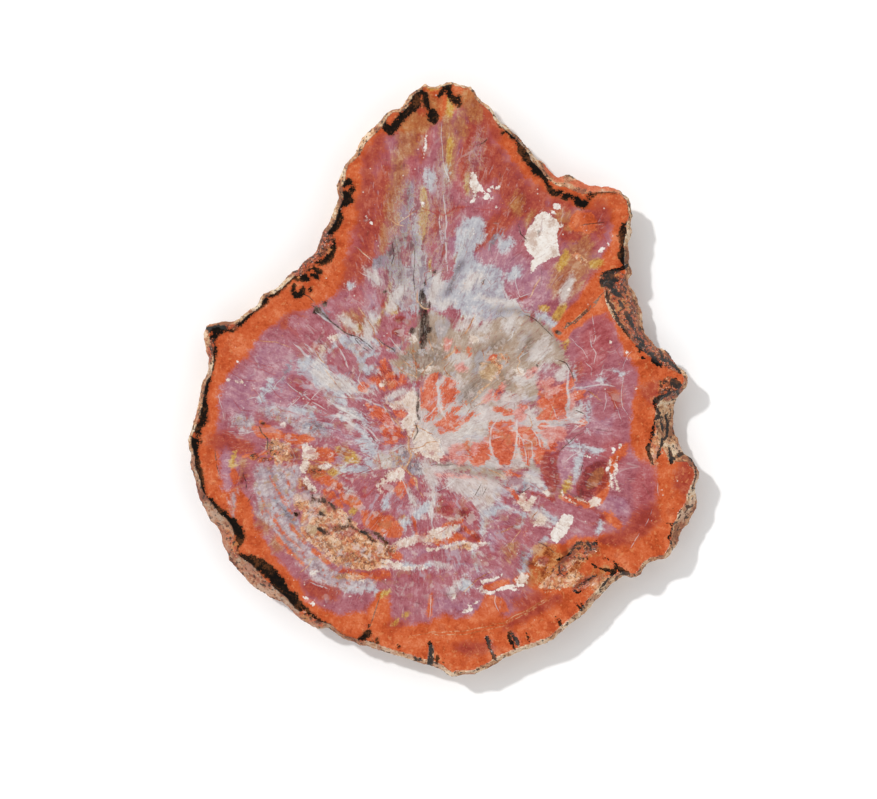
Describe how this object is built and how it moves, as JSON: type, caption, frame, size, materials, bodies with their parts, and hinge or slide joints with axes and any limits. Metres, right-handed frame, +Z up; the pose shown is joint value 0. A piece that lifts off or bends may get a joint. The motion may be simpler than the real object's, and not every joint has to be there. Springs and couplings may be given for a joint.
{
  "type": "petrified wood slice",
  "caption": "Slice of a petrified log lying flat: irregular teardrop outline, flat polished cut face, flat sawn underside and a rough furrowed bark wall between them.",
  "frame": {"origin": "under the middle of the slice's bounding box, on the surface that the sawn underside rests on", "axes": "+Z up out of the polished face, +Y along the slice's length towards the narrow crown of the outline, +X across it"},
  "size_m": [0.3596, 0.4182, 0.028],
  "materials": {
    "petrified_wood": "polished"
  },
  "bodies": {
    "root": {"slice": "petrified_wood"}
  },
  "joints": []
}
